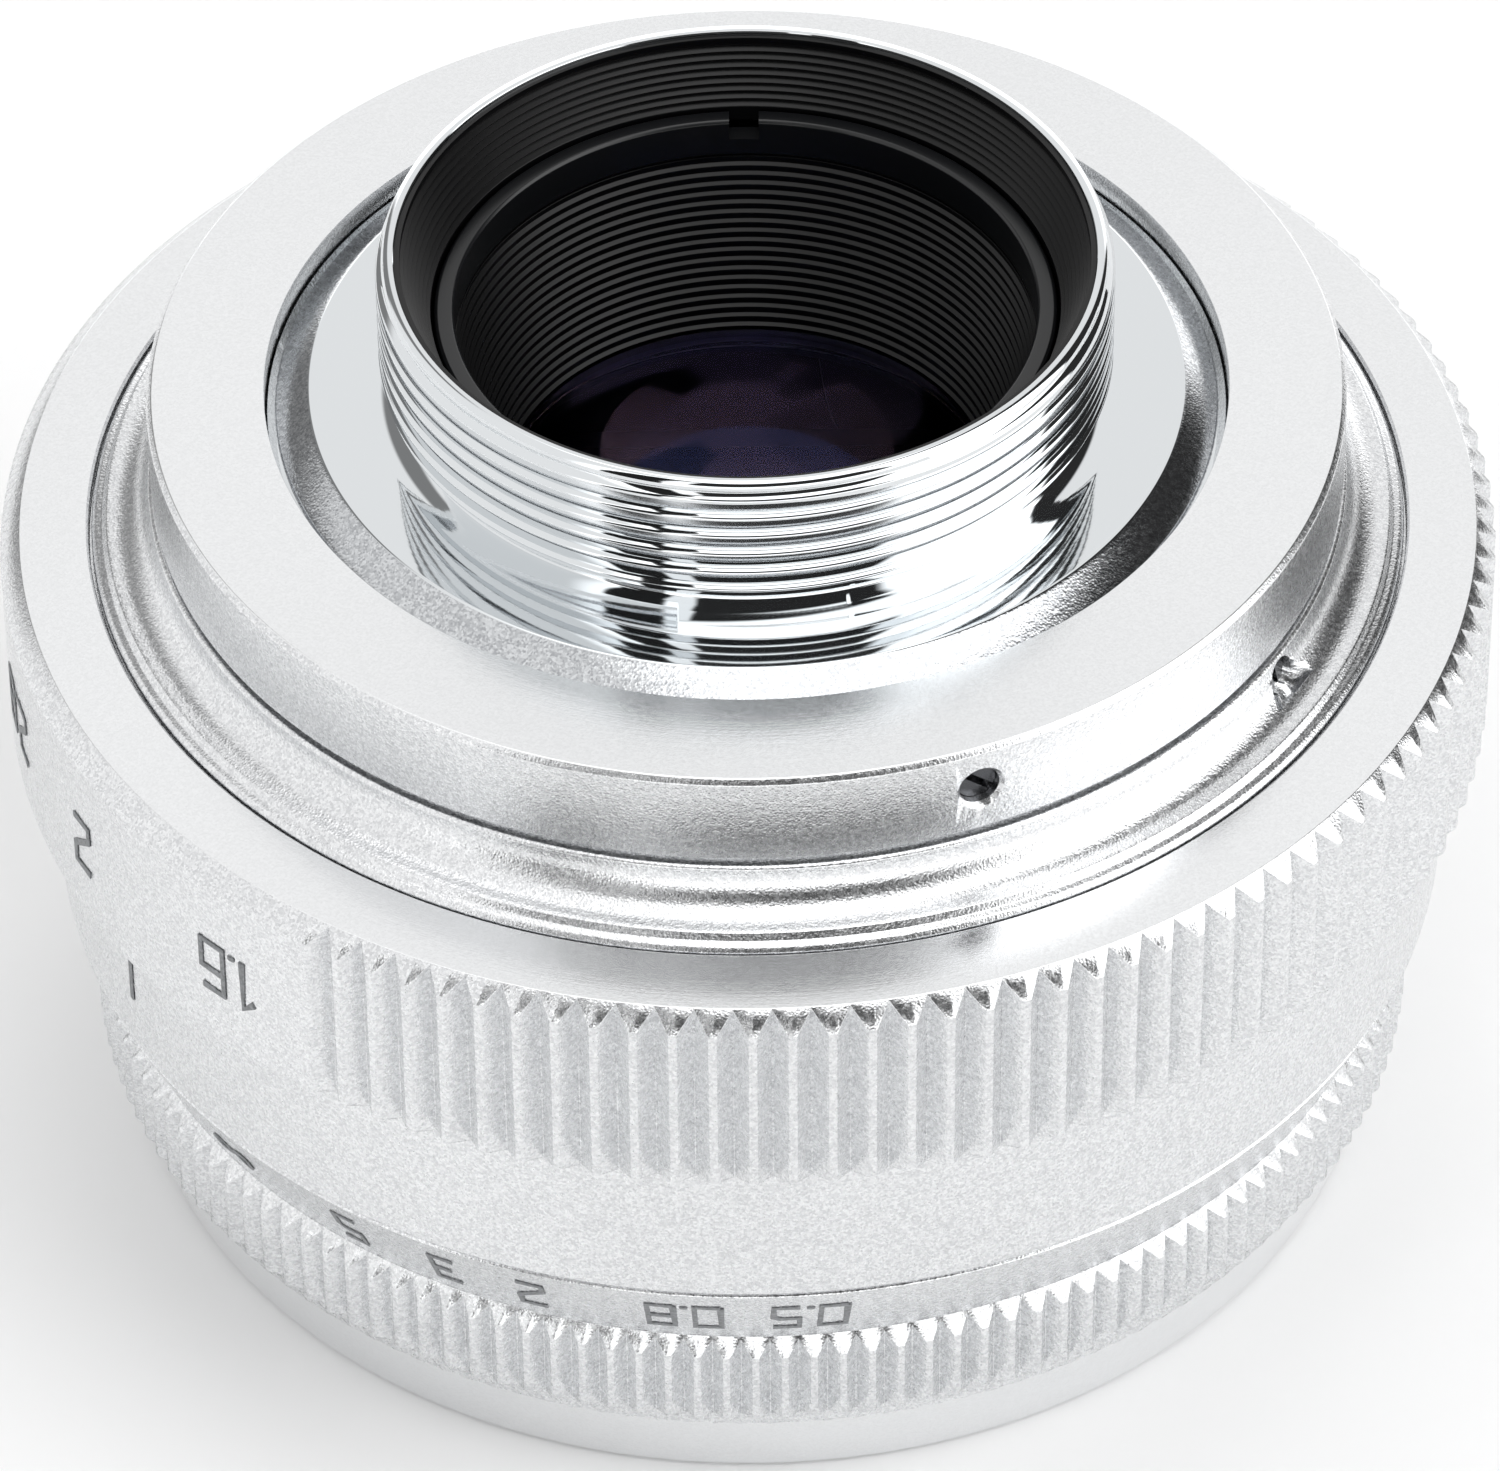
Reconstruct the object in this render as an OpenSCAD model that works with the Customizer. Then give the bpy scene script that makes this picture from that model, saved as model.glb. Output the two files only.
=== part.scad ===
/* [Rear mount] */
// Outside radius of the mount thread (1 inch C-mount)
thread_r = 12.7; // [12.6:0.05:12.8]
// Length of the mount thread
thread_len = 4.9; // [4.4:0.1:4.9]
// Height of the rear rim above the flange face
collar_h = 5.7; // [5.4:0.1:6]
// Outside radius of the mount flange
flange_r = 16.35; // [16:0.05:16.5]
// Bore radius at the rear rim
mount_bore_r = 12.06; // [12:0.02:12.1]

/* [Barrel] */
// Overall length from the front rim to the rear rim
lens_h = 36.6; // [36.6:0.1:37.2]
// Outside radius of the rear barrel
rear_r = 20.8; // [20.6:0.1:21]
// Height of the rear barrel's side wall
rear_side_h = 3.45; // [3.3:0.05:3.5]
// Outside radius of the rear collar's lip
collar_lip_r = 22.97; // [22.8:0.01:23]
// Outside radius of the fixed neck
neck_r = 24.8; // [24.6:0.1:25]

/* [Aperture ring] */
// Outside radius of the aperture ring
ap_r = 26.2; // [26.1:0.1:26.4]
// Lower edge of the aperture ring
ap_z0 = 17.4; // [17.4:0.1:17.6]
// Number of grip divisions round a full turn
ap_div = 124; // [120:4:128]
// Depth of the grip's V grooves
ap_groove_d = 0.65; // [0.5:0.05:0.7]
// Width of the smooth land between two grooves
ap_land = 0.27; // [0.2:0.01:0.35]
// Turn from fully open to the rest mark, degrees
ap_open_turn = 18.4; // [16:0.1:20]
// Turn from the rest mark to fully stopped down, degrees
ap_close_turn = 75.6; // [70:0.1:78]

/* [Focus ring] */
// Upper edge of the focus ring
focus_z1 = 10.85; // [10.8:0.01:10.88]
// Radius of the scale band at its upper edge
band_top_r = 24.75; // [24.6:0.05:24.8]
// Radius of the scale band where it meets the grip
band_low_r = 23.25; // [23.2:0.05:23.3]
// Crest radius of the focus grip
focus_r = 23.8; // [23.7:0.05:23.9]
// Number of focus grip grooves
focus_div = 148; // [144:4:152]
// Depth of the focus grip's V grooves
focus_groove_d = 0.5; // [0.4:0.05:0.5]
// Radius of the front rim
front_r = 22.5; // [22.3:0.1:22.6]
// Travel of the optical block over the whole focus turn
focus_travel = 2.6; // [2:0.1:2.6]

/* [Iris] */
// Radius of the fully open stop
stop_r = 8.4; // [8.2:0.1:8.4]
// Radius of the circle of blade pivots
pivot_circle_r = 11.2; // [11.1:0.05:11.3]
// Blade turn over the whole aperture turn, degrees
blade_sweep = 39.4; // [36:0.1:39.6]
// Blade thickness
blade_t = 0.07; // [0.05:0.01:0.08]

/* [Hidden] */
$fn = 120;
BLADES = 8;

eps = 0.01;
run = 0.05;                              // radial running clearance of turning and sliding fits
front_az = -90;                          // the side that carries the visible scales faces -Y

// Rear stack, from the rim down
flange_z = lens_h - collar_h;            // flange face
thread_z0 = lens_h - thread_len;         // lower end of the mount thread
rear_z0 = flange_z - rear_side_h;        // lower edge of the rear barrel's wall
shadow_gap = 0.3;                        // dark groove under the rear barrel
collar_z1 = rear_z0 - shadow_gap;        // top of the rear collar
collar_z0 = 24.85;                       // seat of the rear collar on the main barrel
lip_z1 = 25.35;                          // top of the rear collar's lip
ap_z1 = 25.3;                            // top face of the aperture ring at its inner edge
skirt_r = 16.65;                         // mount ring skirt inside the rear barrel
rear_bore_r = skirt_r + run;
hub_r = 19.55;                           // rear barrel hub inside the rear collar
hub_z0 = 25.55;
mount_screw_az = [for (i = [0:2]) front_az + 21.6 + 120 * i];
mount_screw_z = 29.2;
baffle_z0 = 33.6;                        // seat of the rear baffle in the mount ring
tunnel_r = 11;                           // mount ring's bore round the rear cell
collar_screw_az = [front_az + 59.5, front_az + 59.5 + 180];
collar_screw_z = 26.25;
grub_r = 0.7;                            // M1.6 set screws

// Fixed barrel
grip_left = 35;                          // aperture grip: degrees left of the front side
grip_right = 212;                        // and degrees right of it, round the back
sleeve_r = 21.9;                         // bearing of the aperture ring
barrel_bore_r = 17.6;                    // guide for the inner barrel
neck_z0 = 10.95;
neck_z1 = 17.3;
skirt_low_z = 8.1;                       // skirt that stays hidden inside the focus ring
skirt_low_r = 22.9;
helicoid_bore_r = 20;
helicoid_bore_z1 = 16.9;
pin_r = 0.5;
pin_z = 18.9;
pin_az = 0;
slot_margin = 2.6;                       // spare slot angle past each stop
key_az = 200;
key_z = 24;
key_r = 0.6;

// Focus group
helicoid_r = helicoid_bore_r - run;
inner_r = barrel_bore_r - run;
flange_low_z = 5.6;                      // seat of the helicoid flange in the focus ring
helicoid_screw_az = [30, 150, 270];
helicoid_screw_pcd_r = 21.2;
cavity_r = 23;
front_bore_r = 20.5;
grip_z0 = 3.5;
grip_z1 = 7.35;

// Optical block
block_z0 = 4.4;
block_z1 = 27.3;
front_bore_in_r = 14.2;                  // bore that takes the front cell
iris_bore_r = 15.65;                     // bore that takes the iris and the rear cell
iris_z0 = 15;                            // seat of the iris plate
lip_in_z = 26;
filter_wall_r = 18.1;                    // wall of the M37 x 0.75 filter thread
cell_r = 10.7;                           // outside of the rear cell tube
rear_screw_az = [110, 230, 350];
rear_screw_pcd_r = 14.9;

// Iris
plate_t = 0.8;
blade_z0 = iris_z0 + plate_t + 0.06;
blade_pitch = blade_t + 0.03;
drive_z0 = blade_z0 + BLADES * blade_pitch + 0.1;
drive_t = 0.8;
drive_r = 15.5;
fork_r = 14.9;
blade_pin_r = 0.3;
arm = [0.3, -4.19];                      // drive pin seen from the pivot, blade fully open
sweep_ratio = blade_sweep / (ap_open_turn + ap_close_turn);

// ---------------------------------------------------------------- helpers

module tube(r_out, r_in, z0, z1) {
    difference() {
        translate([0, 0, z0]) cylinder(r = r_out, h = z1 - z0);
        translate([0, 0, z0 - 1]) cylinder(r = r_in, h = z1 - z0 + 2);
    }
}

module turned(points) {
    rotate_extrude() polygon(points);
}

// Wedge-shaped arc band between two angles, for slots and windows
module arc_band(r_out, r_in, z0, z1, a0, a1) {
    rotate([0, 0, a0])
        rotate_extrude(angle = a1 - a0)
            translate([r_in, z0]) square([r_out - r_in, z1 - z0]);
}

// A cylinder that lies along a radius, from r0 to r1
module radial(az, z, r0, r1, rad, rad_out = 0) {
    rotate([0, 0, az]) translate([r0, 0, z]) rotate([0, 90, 0])
        cylinder(r1 = rad, r2 = rad_out > 0 ? rad_out : rad, h = r1 - r0, $fn = 48);
}

// Slotted set screw with a cone point, lying along a radius
module set_screw(az, z, r_tip, r_face, slot_turn) {
    cone = 0.4;
    rotate([0, 0, az]) translate([0, 0, z]) rotate([0, 90, 0]) difference() {
        translate([0, 0, r_tip]) union() {
            cylinder(r1 = grub_r * 0.4, r2 = grub_r, h = cone, $fn = 48);
            translate([0, 0, cone]) cylinder(r = grub_r, h = r_face - r_tip - cone, $fn = 48);
        }
        rotate([0, 0, slot_turn]) translate([-1, -0.13, r_face - 0.45]) cube([2, 0.26, 1]);
    }
}

// Tapped hole with a small countersink, for a set screw that enters a wall of radius r_wall
module set_screw_hole(az, z, r0, r_wall) {
    radial(az, z, r0, r_wall + 0.5, grub_r + 0.02);
    radial(az, z, r_wall - 0.13, r_wall + 0.5, grub_r + 0.02, grub_r + 0.65);
}

// Countersunk slotted screw that points down, its head's top at z
module flat_screw(az, pcd_r, z, len, r_shank = 0.6, r_head = 1.05) {
    rotate([0, 0, az]) translate([pcd_r, 0, z]) difference() {
        union() {
            translate([0, 0, -len]) cylinder(r = r_shank, h = len - 0.2, $fn = 36);
            translate([0, 0, -0.6]) cylinder(r1 = r_shank, r2 = r_head, h = 0.45, $fn = 36);
            translate([0, 0, -0.15]) cylinder(r = r_head, h = 0.15, $fn = 36);
        }
        rotate([0, 0, 35]) translate([-1.5, -0.13, -0.3]) cube([3, 0.26, 1]);
    }
}

// Hole that the screw above drops into
module flat_screw_hole(az, pcd_r, z, len, r_shank = 0.6, r_head = 1.05) {
    gap = 0.02;
    rotate([0, 0, az]) translate([pcd_r, 0, z]) {
        translate([0, 0, -len - gap]) cylinder(r = r_shank + gap, h = len, $fn = 36);
        translate([0, 0, -0.6]) cylinder(r1 = r_shank + gap, r2 = r_head + gap, h = 0.45, $fn = 36);
        translate([0, 0, -0.15 - eps]) cylinder(r = r_head + gap, h = 1, $fn = 36);
    }
}

// Turn of a plane vector about the origin
function rotated(v, a) = [v[0] * cos(a) - v[1] * sin(a), v[0] * sin(a) + v[1] * cos(a)];

// Outline of a grip in plan: a V groove in each of the divisions from k0 to k1 (k0 may be negative)
function grip_outline(div, k0, k1, r_root, r_over, w) = [
    for (k = [0:div - 1])
        for (p = k <= k1 || k >= div + k0 ? [[r_over, -w], [r_root, 0], [r_over, w]] : [[r_over, 0]])
            rotated(p, (k + 0.5) * 360 / div)
];

// Everything outside a grip's outline, to be cut away between z0 and z1
module grip_cutter(div, k0, k1, r_root, r_crest, land, z0, z1) {
    r_over = r_crest + 0.08;
    half_w = (2 * PI * r_crest / div - land) / 2;
    w = half_w * (r_over - r_root) / (r_crest - r_root);
    translate([0, 0, z0]) linear_extrude(z1 - z0) difference() {
        circle(r = r_crest + 2);
        polygon(grip_outline(div, k0, k1, r_root, r_over, w));
    }
}

function ball_r(r, sag) = (r * r + sag * sag) / (2 * sag);

// Glass element with flat rims; a positive sag bulges outward, a negative one is hollow
module glass(r_edge, r_clear, z0, z1, sag0, sag1) {
    b0 = ball_r(r_clear, abs(sag0));
    b1 = ball_r(r_clear, abs(sag1));
    difference() {
        union() {
            translate([0, 0, z0]) cylinder(r = r_edge, h = z1 - z0);
            if (sag0 > 0) intersection() {
                translate([0, 0, z0 - sag0 + b0]) sphere(r = b0, $fn = 200);
                translate([0, 0, z0 - sag0 - 1]) cylinder(r = r_edge - 0.2, h = sag0 + 1.2);
            }
            if (sag1 > 0) intersection() {
                translate([0, 0, z1 + sag1 - b1]) sphere(r = b1, $fn = 200);
                translate([0, 0, z1 - 0.2]) cylinder(r = r_edge - 0.2, h = sag1 + 1.2);
            }
        }
        if (sag0 < 0) translate([0, 0, z0 - sag0 - b0]) sphere(r = b0, $fn = 200);
        if (sag1 < 0) translate([0, 0, z1 + sag1 + b1]) sphere(r = b1, $fn = 200);
    }
}

// Two spanner slots across a ring's face
module spanner_slots(az, r0, r1, z0, z1, w) {
    for (s = [0, 180])
        rotate([0, 0, az + s]) translate([r0, -w / 2, z0]) cube([r1 - r0, w, z1 - z0]);
}

// ---------------------------------------------------------------- fixed barrel

module mount_ring() {
    relief_r = 12.1;
    root_r = 13.1;                       // cove where the collar meets the flange
    step_r = 15.25;
    skirt_z0 = 27.6;
    color("gainsboro") {
        turned([
            [12.5, skirt_z0], [skirt_r, skirt_z0], [skirt_r, mount_screw_z - 0.5],
            [skirt_r - 0.35, mount_screw_z - 0.2], [skirt_r - 0.35, mount_screw_z + 0.2],
            [skirt_r, mount_screw_z + 0.5], [skirt_r, flange_z - 0.88], [flange_r, flange_z - 0.84],
            [flange_r, flange_z - 0.74], [flange_r - 0.2, flange_z - 0.68],
            [step_r, flange_z - 0.08], [step_r - 0.1, flange_z], [root_r, flange_z],
            [relief_r + 0.35, flange_z + 0.2], [relief_r, flange_z + 0.35],
            [relief_r, thread_z0 - 0.3], [thread_r - 0.3, thread_z0 - 0.3], [thread_r, thread_z0],
            [thread_r, lens_h - 0.3], [thread_r - 0.3, lens_h], [mount_bore_r, lens_h],
            [mount_bore_r, baffle_z0], [tunnel_r, baffle_z0], [tunnel_r, 31], [12.5, 30]
        ]);
    }
}

module mount_set_screws() {
    color("dimgray") for (az = mount_screw_az)
        set_screw(az, mount_screw_z, skirt_r - 0.15, rear_r - 0.45, 50);
}

module rear_barrel() {
    color("silver") difference() {
        turned([
            [14.2, hub_z0], [hub_r, hub_z0], [hub_r, collar_z1], [rear_r - 0.5, collar_z1],
            [rear_r - 0.5, rear_z0], [rear_r, rear_z0], [rear_r, flange_z - 0.2],
            [rear_r - 0.2, flange_z], [rear_bore_r, flange_z], [rear_bore_r, 27.5], [14.2, 27.5]
        ]);
        for (az = mount_screw_az) set_screw_hole(az, mount_screw_z, rear_bore_r - 0.5, rear_r);
        translate([0, 0, hub_z0 - 1]) cylinder(r = barrel_bore_r, h = 1.75 + 1);
        for (az = collar_screw_az) radial(az, collar_screw_z, hub_r - 0.35, hub_r + 1, 0.3, 1.6);
    }
}

// Blackened funnel with turned ribs behind the rear rim
module rear_baffle() {
    ribs = 8;
    top_z = lens_h - 0.12;
    low_z = baffle_z0;
    top_r = 11.85;
    low_r = 10.85;
    step_z = (top_z - 0.25 - 34.2) / ribs;
    step_r = (top_r - low_r) / ribs;
    color("black") turned(concat(
        [[low_r, low_z], [mount_bore_r, low_z], [mount_bore_r, top_z], [top_r, top_z]],
        [for (i = [0:ribs - 1]) for (k = [0, 1])
            k == 0 ? [top_r - i * step_r, top_z - 0.25 - i * step_z]
                   : [top_r - i * step_r + 0.12, top_z - 0.25 - (i + 0.6) * step_z]],
        [[low_r, 34.2]]
    ));
}

module rear_collar() {
    cove_r = 1.45;
    foot_r = 21.95;
    bore_r = hub_r + 0.1;
    color("silver") difference() {
        rotate_extrude() difference() {
            polygon([
                [bore_r, collar_z0], [collar_lip_r, collar_z0], [collar_lip_r, lip_z1 - 0.15],
                [collar_lip_r - 0.15, lip_z1], [foot_r, lip_z1 + 0.4], [foot_r, collar_z1 - 0.15],
                [rear_r + 0.1, collar_z1], [bore_r, collar_z1]
            ]);
            translate([foot_r + 0.42, lip_z1 + 0.4 + cove_r - 0.08]) circle(r = cove_r);
        }
        for (az = collar_screw_az) set_screw_hole(az, collar_screw_z, hub_r - 0.5, 21.15);
    }
}

module collar_set_screws() {
    color("dimgray") for (az = collar_screw_az)
        set_screw(az, collar_screw_z, hub_r - 0.1, 20.75, 20);
}

module main_barrel() {
    color("silver") difference() {
        turned([
            [barrel_bore_r, helicoid_bore_z1], [helicoid_bore_r, helicoid_bore_z1],
            [helicoid_bore_r, skirt_low_z], [skirt_low_r, skirt_low_z], [skirt_low_r, neck_z0],
            [neck_r - 0.1, neck_z0], [neck_r, neck_z0 + 0.1], [neck_r, neck_z1 - 0.1],
            [neck_r - 0.1, neck_z1], [sleeve_r, neck_z1], [sleeve_r, collar_z0],
            [hub_r + 0.05, collar_z0], [hub_r + 0.05, hub_z0], [barrel_bore_r, hub_z0]
        ]);
        arc_band(sleeve_r + 1, barrel_bore_r - 1, pin_z - pin_r - 0.1, pin_z + pin_r + 0.1,
                 pin_az - ap_open_turn - slot_margin, pin_az + ap_close_turn + slot_margin);
        radial(key_az, key_z, barrel_bore_r - 1, sleeve_r + 1, key_r);
        radial(key_az, key_z, sleeve_r - 1.1, sleeve_r + 1, 0.75);
    }
}

// Screw with a plain tip that keeps the optical block from turning
module guide_key() {
    head = 1;
    color("dimgray") rotate([0, 0, key_az]) translate([0, 0, key_z]) rotate([0, 90, 0]) difference() {
        union() {
            translate([0, 0, 17]) cylinder(r = key_r, h = sleeve_r - 17 - head, $fn = 48);
            translate([0, 0, sleeve_r - 1.1]) cylinder(r = 0.75, h = head, $fn = 48);
        }
        translate([-1, -0.15, sleeve_r - 0.55]) cube([2, 0.3, 1]);
    }
}

// ---------------------------------------------------------------- aperture ring

module aperture_ring() {
    pitch = 360 / ap_div;
    first = ceil((front_az - grip_left) / pitch - 0.5);
    last = floor((front_az + grip_right) / pitch - 0.5);
    recess_r = collar_lip_r + 0.1;
    color("silver") difference() {
        turned([
            [sleeve_r + run, ap_z0], [ap_r - 0.3, ap_z0], [ap_r, ap_z0 + 0.3], [ap_r, 24.45],
            [ap_r - 0.7, 25.12], [recess_r + 0.1, ap_z1], [recess_r, ap_z1 - 0.1],
            [recess_r, collar_z0 - 0.1], [sleeve_r + run, collar_z0 - 0.1]
        ]);
        grip_cutter(ap_div, first, last, ap_r - ap_groove_d, ap_r, ap_land, ap_z0 - 1, ap_z1 + 1);
        radial(pin_az, pin_z, sleeve_r - 1, 23.2, pin_r);
    }
}

module aperture_drive_pin() {
    color("goldenrod") radial(pin_az, pin_z, 14.6, 23.2, pin_r);
}

// ---------------------------------------------------------------- focus ring

module focus_ring() {
    land = 0.23;
    root_r = focus_r - focus_groove_d;
    color("silver") difference() {
        turned([
            [front_bore_r, 0.15], [front_bore_r + 0.15, 0], [front_r - 0.25, 0], [front_r, 0.25],
            [root_r + 0.03, grip_z0 - 0.35], [root_r + 0.08, grip_z0], [focus_r, grip_z0 + 0.4],
            [focus_r, grip_z1 - 0.55], [band_low_r, grip_z1], [band_top_r, focus_z1 - 0.1],
            [band_top_r - 0.1, focus_z1], [cavity_r, focus_z1], [cavity_r, 8],
            [22.25, 8], [22.25, flange_low_z], [front_bore_r, flange_low_z]
        ]);
        grip_cutter(focus_div, 0, focus_div - 1, root_r, focus_r, land, grip_z0 - 0.9, grip_z1 - 0.02);
        for (az = helicoid_screw_az)
            flat_screw_hole(az, helicoid_screw_pcd_r, flange_low_z + 1.2, 3);
    }
}

// Threaded sleeve that turns in the barrel and carries the optical block
module helicoid_sleeve() {
    flange_z1 = flange_low_z + 1.2;
    color("darkkhaki") difference() {
        turned([
            [inner_r + run, flange_low_z], [22.2, flange_low_z], [22.2, flange_z1],
            [helicoid_r, flange_z1], [helicoid_r, 15.9], [helicoid_r - 0.3, 16.05],
            [inner_r + run, 16.05]
        ]);
        for (az = helicoid_screw_az) flat_screw_hole(az, helicoid_screw_pcd_r, flange_z1, 3);
    }
}

module helicoid_screws() {
    color("dimgray") for (az = helicoid_screw_az)
        flat_screw(az, helicoid_screw_pcd_r, flange_low_z + 1.2, 3);
}

// ---------------------------------------------------------------- optical block

module inner_barrel() {
    key_w = 2 * key_r + 0.1;
    color("dimgray") difference() {
        turned([
            [front_bore_in_r, block_z0], [20.3, block_z0], [20.3, flange_low_z - 0.1],
            [inner_r, flange_low_z - 0.1], [inner_r, 16.15], [16.9, 16.15], [16.9, 16.55],
            [inner_r, 16.55], [inner_r, block_z1 - 0.2], [inner_r - 0.2, block_z1],
            [front_bore_in_r, block_z1], [front_bore_in_r, lip_in_z], [iris_bore_r, lip_in_z],
            [iris_bore_r, iris_z0], [front_bore_in_r, iris_z0]
        ]);
        arc_band(inner_r + 1, iris_bore_r - 1, pin_z - pin_r - 0.2,
                 pin_z + pin_r + focus_travel + 0.3,
                 pin_az - ap_open_turn - slot_margin, pin_az + ap_close_turn + slot_margin);
        rotate([0, 0, key_az]) translate([16.85, -key_w / 2, key_z - key_r - 0.1])
            cube([2, key_w, 4]);
        for (az = rear_screw_az) flat_screw_hole(az, rear_screw_pcd_r, block_z1, 2.6, 0.4, 0.65);
    }
}

module focus_circlip() {
    color("dimgray") difference() {
        tube(19.2, 16.95, 16.17, 16.53);
        rotate([0, 0, 45]) translate([10, -1.2, 15]) cube([12, 2.4, 3]);
    }
}

module filter_ring() {
    color("dimgray") turned([
        [filter_wall_r + 0.3, 0.2], [20.25, 0.2], [20.4, 0.35], [20.4, block_z0],
        [18.6, block_z0], [18.6, 3.1], [filter_wall_r, 3.1], [filter_wall_r, 0.5]
    ]);
}

module name_ring() {
    color("black") turned([
        [12.5, 4.35], [12.1, 4.1], [17.2, 3.2], [17.9, 3.2], [17.9, 3.75], [16.6, 3.75]
    ]);
}

module front_cell() {
    color("black") turned([
        [12.8, block_z0], [14.15, block_z0], [14.15, 14.8], [9.6, 14.8], [9.6, 14.35],
        [10.4, 14.35], [10.4, 12.7], [11.2, 12.7], [11.2, 9.9], [12, 9.9], [12, 6.95], [12.8, 6.95]
    ]);
}

module front_retaining_ring() {
    color("black") difference() {
        turned([[11.3, 6.95], [11.3, 6.2], [11.6, 5.5], [12.75, 5.5], [12.75, 6.95]]);
        spanner_slots(90, 11, 13, 5, 6, 1);
    }
}

module front_element() {
    color("lightsteelblue", 0.6) glass(11.95, 11.2, 7, 8.4, 2.6, -0.2);
}

module front_spacer() {
    color("black") tube(11.15, 10.45, 8.4, 11.4);
}

module second_element() {
    color("lightsteelblue", 0.6) glass(11.15, 10.4, 11.4, 12, 1.9, -1.1);
}

module second_spacer() {
    color("black") tube(11.15, 10.45, 12, 12.7);
}

module third_element() {
    color("lightsteelblue", 0.6) glass(10.35, 9.4, 12.75, 14.3, 0.9, -1.6);
}

// ---------------------------------------------------------------- iris

// Fixed plate with the pivot holes of the blades
module iris_plate() {
    color("dimgray") difference() {
        tube(15.6, stop_r + 0.2, iris_z0, iris_z0 + plate_t);
        for (i = [0:BLADES - 1]) rotate([0, 0, 360 / BLADES * i])
            translate([pivot_circle_r, 0, iris_z0 - 1]) cylinder(r = blade_pin_r + 0.03, h = 3, $fn = 36);
    }
}

// Turn of a blade about its pivot when the aperture ring is t degrees from rest
function blade_turn(t) = sweep_ratio * (ap_open_turn + t);
// Drive pin's place in the drive ring's own frame
function cam_point(t) = rotated([pivot_circle_r, 0] + rotated(arm, blade_turn(t)), -t);
function cam_normal(t) =
    let (d = cam_point(t + 0.5) - cam_point(t - 0.5)) [-d[1], d[0]] / norm(d);

module cam_slot() {
    half_w = blade_pin_r + 0.05;
    steps = 24;
    t = [for (i = [0:steps]) -ap_open_turn - 0.8 + i / steps * (ap_open_turn + ap_close_turn + 1.6)];
    polygon(concat(
        [for (a = t) cam_point(a) + half_w * cam_normal(a)],
        [for (i = [steps:-1:0]) cam_point(t[i]) - half_w * cam_normal(t[i])]
    ));
    for (a = [t[0], t[steps]]) translate(cam_point(a)) circle(r = half_w, $fn = 24);
}

// Cam plate that swings the blades, with a forked skirt for the drive pin
module iris_drive_ring() {
    fork_w = 2 * pin_r + 0.1;
    skirt_z1 = pin_z + pin_r + focus_travel + 0.6;
    color("darkgray") difference() {
        union() {
            translate([0, 0, drive_z0]) linear_extrude(drive_t) difference() {
                circle(r = drive_r);
                circle(r = 9.4);
                for (i = [0:BLADES - 1]) rotate(360 / BLADES * i) cam_slot();
            }
            tube(drive_r, fork_r, drive_z0 + drive_t - 0.1, skirt_z1);
        }
        rotate([0, 0, pin_az]) translate([fork_r - 0.5, -fork_w / 2, pin_z - pin_r - 0.25])
            cube([2, fork_w, 6]);
    }
}

// One curved blade on its own level, with a pivot pin below and a drive pin above
module iris_blade(i) {
    z = blade_z0 + i * blade_pitch;
    band_out_r = 10.3;
    span = 104;
    pad_r = 0.8;
    color("gray") rotate([0, 0, 360 / BLADES * i])
        translate([pivot_circle_r, 0, 0]) rotate([0, 0, blade_turn(0)]) {
            translate([0, 0, z]) linear_extrude(blade_t) union() {
                translate([-pivot_circle_r, 0]) difference() {
                    intersection() {
                        circle(r = band_out_r);
                        polygon(concat([[0, 0]], [for (a = [-5:span / 8:span + 4]) 14 * [cos(a), sin(a)]]));
                    }
                    circle(r = stop_r);
                }
                circle(r = pad_r, $fn = 36);
                translate([-1.5, -pad_r]) square([1.5, 2 * pad_r]);
                rotate(atan2(arm[1], arm[0])) translate([0, -0.45]) square([norm(arm), 0.9]);
                translate(arm) circle(r = 0.5, $fn = 36);
            }
            translate([0, 0, iris_z0 + 0.1]) cylinder(r = blade_pin_r, h = z + blade_t / 2 - iris_z0 - 0.1, $fn = 36);
            translate([arm[0], arm[1], z + blade_t / 2])
                cylinder(r = blade_pin_r, h = drive_z0 + drive_t - 0.1 - z - blade_t / 2, $fn = 36);
        }
}

// ---------------------------------------------------------------- rear cell

module rear_cell() {
    color("black") difference() {
        turned([
            [8.3, 17.85], [cell_r, 17.85], [cell_r, 24.4], [15.6, 24.4], [15.6, lip_in_z],
            [cell_r, lip_in_z], [cell_r, 33.2], [10.35, 33.2], [10.35, 26.02], [9.05, 26.02],
            [9.05, 18.3], [8.3, 18.3]
        ]);
        for (az = rear_screw_az) flat_screw_hole(az, rear_screw_pcd_r, block_z1, 2.6, 0.4, 0.65);
    }
}

module rear_cell_screws() {
    color("dimgray") for (az = rear_screw_az)
        flat_screw(az, rear_screw_pcd_r, block_z1, 2.6, 0.4, 0.65);
}

module doublet_front_element() {
    color("lightsteelblue", 0.6) glass(9, 8.2, 18.35, 22.1, -1.8, -0.9);
}

module doublet_rear_element() {
    color("lightsteelblue", 0.6) glass(9, 8.2, 22.1, 22.6, 0.88, 1.6);
}

module rear_spacer() {
    color("black") tube(9, 8.5, 22.6, 25.1);
}

module rear_element() {
    color("lightsteelblue", 0.6) glass(9, 8.4, 25.1, 26, 0.6, 2.1);
}

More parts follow.
